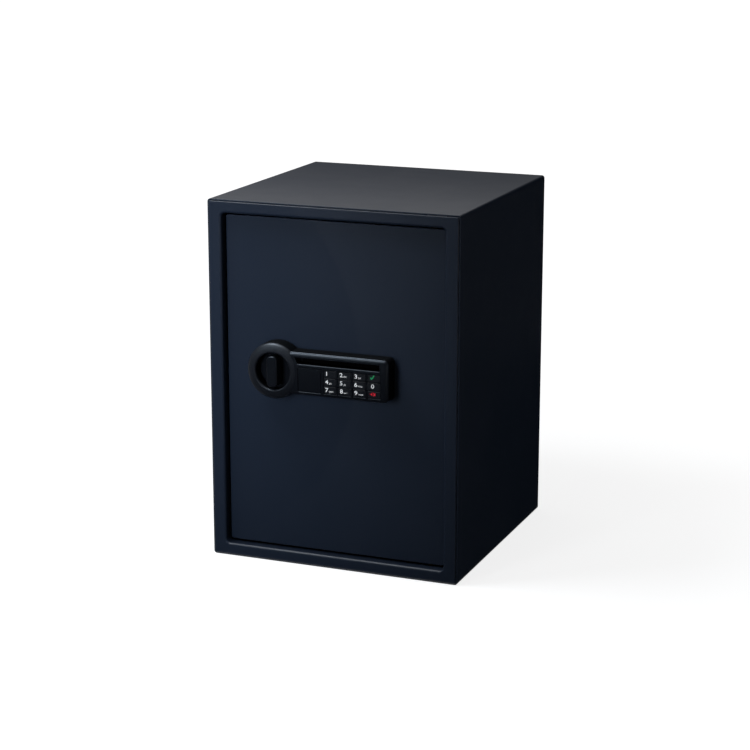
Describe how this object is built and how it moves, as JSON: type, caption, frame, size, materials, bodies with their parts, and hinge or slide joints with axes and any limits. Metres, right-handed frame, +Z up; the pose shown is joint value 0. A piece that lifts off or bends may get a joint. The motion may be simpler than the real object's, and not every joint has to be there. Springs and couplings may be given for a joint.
{
  "type": "personal safe",
  "caption": "Personal safe: a steel box with a recessed, side-hinged door, a thumb-turn knob in a ring and a keypad bar beside it",
  "frame": {"origin": "centre of the whole safe's footprint, knob included, on the surface it stands on", "axes": "+X to the right as seen from the front, +Y from the door to the rear panel, +Z up"},
  "size_m": [0.36, 0.377, 0.5],
  "materials": {
    "black_steel": "fine-textured satin black powder coat with a blue cast",
    "bracket_steel": "bright plated steel",
    "zinc": "zinc-plated",
    "brass": "turned",
    "panel_plastic": "satin moulded",
    "key_plastic": null,
    "keypad_rubber": "matt",
    "board": "lacquered board",
    "battery": null,
    "button_red": "gloss",
    "mat_fabric": "short felt"
  },
  "bodies": {
    "body": {"body_wrap": "black_steel", "front_frame": "black_steel", "rear_panel": "black_steel", "upper_hinge_bracket": "bracket_steel", "lower_hinge_bracket": "bracket_steel", "hinge_pins": "bracket_steel", "hinge_washers": "brass", "shelf_rests": "black_steel", "floor_mat": "mat_fabric"},
    "door": {"door_plate": "black_steel", "door_pan": "black_steel", "inner_cover": "black_steel", "cover_screws": "zinc", "lock_panel": "panel_plastic", "panel_screws": "zinc", "keypad_mat": "keypad_rubber", "keypad_board": "board", "emergency_lock_body": "zinc", "emergency_lock_nut": "zinc", "spindle_bush": "brass", "bolt_guides": "bracket_steel", "solenoid_frame": "zinc", "solenoid_coil": "brass", "solenoid_spring": "bracket_steel", "battery_box": "panel_plastic", "batteries": "battery", "battery_contacts": "zinc", "control_board": "board", "board_standoffs": "brass", "reset_switch": "panel_plastic", "keypad_cable": "keypad_rubber", "solenoid_lead": "keypad_rubber", "battery_lead": "keypad_rubber"},
    "knob_turner": {"knob": "panel_plastic", "spindle": "bracket_steel", "spindle_clip": "bracket_steel", "crank": "zinc"},
    "bolt_works": {"bolt_bar": "bracket_steel", "upper_bolt": "zinc", "lower_bolt": "zinc", "bolt_clips": "bracket_steel"},
    "plunger": {"solenoid_plunger": "bracket_steel"},
    "emergency_turner": {"emergency_plug": "brass", "emergency_cam": "zinc"},
    "lock_cover": {"cover_plate": "panel_plastic"},
    "battery_lid": {"battery_cover": "panel_plastic"},
    "button": {"reset_button": "button_red"},
    "shelf_plate": {"shelf": "black_steel"},
    "key_1_cap": {"key_1": "key_plastic"},
    "key_2_cap": {"key_2": "key_plastic"},
    "key_3_cap": {"key_3": "key_plastic"},
    "key_enter_cap": {"key_enter": "key_plastic"},
    "key_4_cap": {"key_4": "key_plastic"},
    "key_5_cap": {"key_5": "key_plastic"},
    "key_6_cap": {"key_6": "key_plastic"},
    "key_0_cap": {"key_0": "key_plastic"},
    "key_7_cap": {"key_7": "key_plastic"},
    "key_8_cap": {"key_8": "key_plastic"},
    "key_9_cap": {"key_9": "key_plastic"},
    "key_clear_cap": {"key_clear": "key_plastic"}
  },
  "joints": [
    {"name": "door_hinge", "type": "hinge", "parent": "body", "child": "door", "pos_m": [0.1375, -0.1505, 0.25], "axis": [0, 0, 1], "range_deg": [0, 110]},
    {"name": "knob_turn", "type": "hinge", "parent": "door", "child": "knob_turner", "pos_m": [-0.08, -0.1845, 0.274], "axis": [0, -1, 0], "range_deg": [0, 75]},
    {"name": "bolt_slide", "type": "slide", "parent": "door", "child": "bolt_works", "axis": [-1, 0, 0], "range_m": [0, 0.01461]},
    {"name": "plunger_slide", "type": "slide", "parent": "door", "child": "plunger", "axis": [0, 0, -1], "range_m": [0, 0.0075], "deforming": ["solenoid_spring"]},
    {"name": "emergency_turn", "type": "hinge", "parent": "door", "child": "emergency_turner", "pos_m": [-0.0266, -0.1715, 0.2662], "axis": [0, -1, 0], "range_deg": [0, 90]},
    {"name": "lock_cover_off", "type": "slide", "parent": "door", "child": "lock_cover", "axis": [0, -1, 0], "range_m": [0, 0.03]},
    {"name": "battery_lid_off", "type": "slide", "parent": "door", "child": "battery_lid", "axis": [0, 1, 0], "range_m": [0, 0.03]},
    {"name": "reset_press", "type": "slide", "parent": "door", "child": "button", "axis": [0, -1, 0], "range_m": [0, 0.001], "stiffness_N_per_m": 500, "springref_m": -0.001},
    {"name": "shelf_lift", "type": "slide", "parent": "body", "child": "shelf_plate", "axis": [0, 0, 1], "range_m": [0, 0.02]},
    {"name": "key_1_press", "type": "slide", "parent": "door", "child": "key_1_cap", "axis": [0, 1, 0], "range_m": [0, 0.0008], "stiffness_N_per_m": 500, "springref_m": -0.001},
    {"name": "key_2_press", "type": "slide", "parent": "door", "child": "key_2_cap", "axis": [0, 1, 0], "range_m": [0, 0.0008], "stiffness_N_per_m": 500, "springref_m": -0.001},
    {"name": "key_3_press", "type": "slide", "parent": "door", "child": "key_3_cap", "axis": [0, 1, 0], "range_m": [0, 0.0008], "stiffness_N_per_m": 500, "springref_m": -0.001},
    {"name": "key_enter_press", "type": "slide", "parent": "door", "child": "key_enter_cap", "axis": [0, 1, 0], "range_m": [0, 0.0008], "stiffness_N_per_m": 500, "springref_m": -0.001},
    {"name": "key_4_press", "type": "slide", "parent": "door", "child": "key_4_cap", "axis": [0, 1, 0], "range_m": [0, 0.0008], "stiffness_N_per_m": 500, "springref_m": -0.001},
    {"name": "key_5_press", "type": "slide", "parent": "door", "child": "key_5_cap", "axis": [0, 1, 0], "range_m": [0, 0.0008], "stiffness_N_per_m": 500, "springref_m": -0.001},
    {"name": "key_6_press", "type": "slide", "parent": "door", "child": "key_6_cap", "axis": [0, 1, 0], "range_m": [0, 0.0008], "stiffness_N_per_m": 500, "springref_m": -0.001},
    {"name": "key_0_press", "type": "slide", "parent": "door", "child": "key_0_cap", "axis": [0, 1, 0], "range_m": [0, 0.0008], "stiffness_N_per_m": 500, "springref_m": -0.001},
    {"name": "key_7_press", "type": "slide", "parent": "door", "child": "key_7_cap", "axis": [0, 1, 0], "range_m": [0, 0.0008], "stiffness_N_per_m": 500, "springref_m": -0.001},
    {"name": "key_8_press", "type": "slide", "parent": "door", "child": "key_8_cap", "axis": [0, 1, 0], "range_m": [0, 0.0008], "stiffness_N_per_m": 500, "springref_m": -0.001},
    {"name": "key_9_press", "type": "slide", "parent": "door", "child": "key_9_cap", "axis": [0, 1, 0], "range_m": [0, 0.0008], "stiffness_N_per_m": 500, "springref_m": -0.001},
    {"name": "key_clear_press", "type": "slide", "parent": "door", "child": "key_clear_cap", "axis": [0, 1, 0], "range_m": [0, 0.0008], "stiffness_N_per_m": 500, "springref_m": -0.001}
  ],
  "couplings": [
    {"joint": "bolt_slide", "follows": "knob_turn", "m_per_rad": 0.011161}
  ]
}
